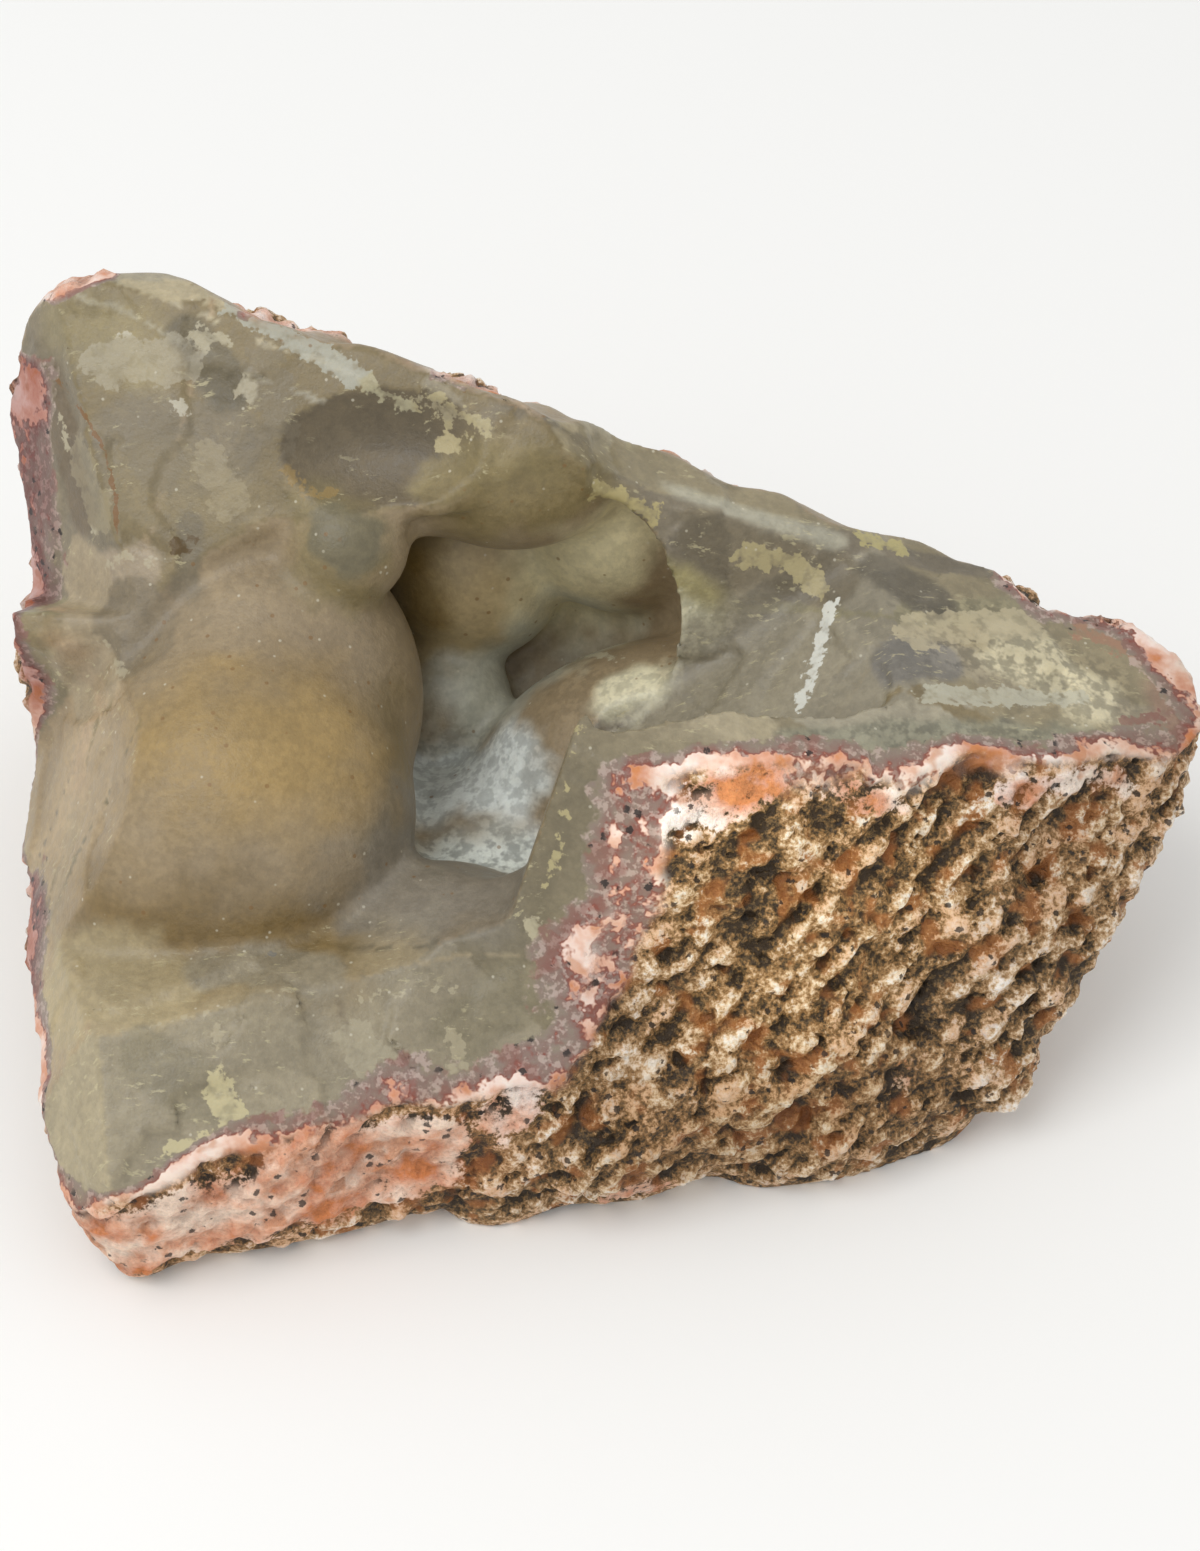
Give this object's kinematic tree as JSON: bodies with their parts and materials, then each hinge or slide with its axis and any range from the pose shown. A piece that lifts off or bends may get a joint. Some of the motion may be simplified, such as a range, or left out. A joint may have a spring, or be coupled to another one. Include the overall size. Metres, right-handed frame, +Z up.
{
  "type": "rough chalcedony",
  "caption": "Broken piece of a chalcedony nodule: rough pitted rind outside, rounded grey growths in an open hollow.",
  "frame": {"origin": "on the flat resting face, near its middle", "axes": "+Z up, +X towards the pointed end, +Y away from the open side"},
  "size_m": [0.0942, 0.0692, 0.0517],
  "materials": {
    "chalcedony": "milky chalcedony, satin on the breaks, rough on the rind"
  },
  "bodies": {
    "root": {"chalcedony": "chalcedony"}
  },
  "joints": []
}
